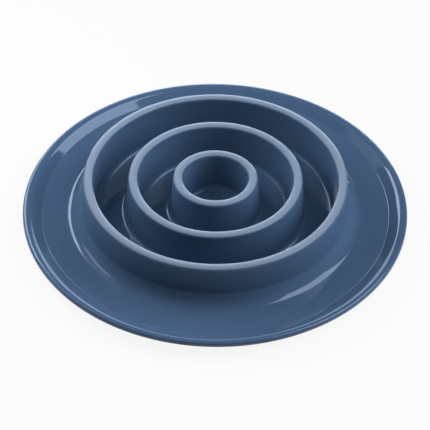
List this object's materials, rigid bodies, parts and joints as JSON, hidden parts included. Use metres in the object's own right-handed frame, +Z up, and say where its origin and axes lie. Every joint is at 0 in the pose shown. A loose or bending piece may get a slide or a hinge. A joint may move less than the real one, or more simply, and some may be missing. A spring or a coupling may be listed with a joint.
{
  "type": "slow feeder bowl",
  "caption": "Wide shallow round pet dish with concentric ring walls that form a maze of feeding channels, a soft raised lip, and rubber feet below.",
  "frame": {"origin": "on the bowl's axis, on the surface that the rubber feet stand on", "axes": "+Z up along the bowl's axis; +X through the middle of foot_1"},
  "size_m": [0.26, 0.26, 0.0357],
  "materials": {
    "bowl_plastic": "high gloss slate blue, coloured through",
    "foot_rubber": "matt dark grey"
  },
  "bodies": {
    "root": {"bowl": "bowl_plastic", "foot_1": "foot_rubber", "foot_2": "foot_rubber", "foot_3": "foot_rubber", "foot_4": "foot_rubber", "foot_5": "foot_rubber", "foot_6": "foot_rubber"}
  },
  "joints": []
}
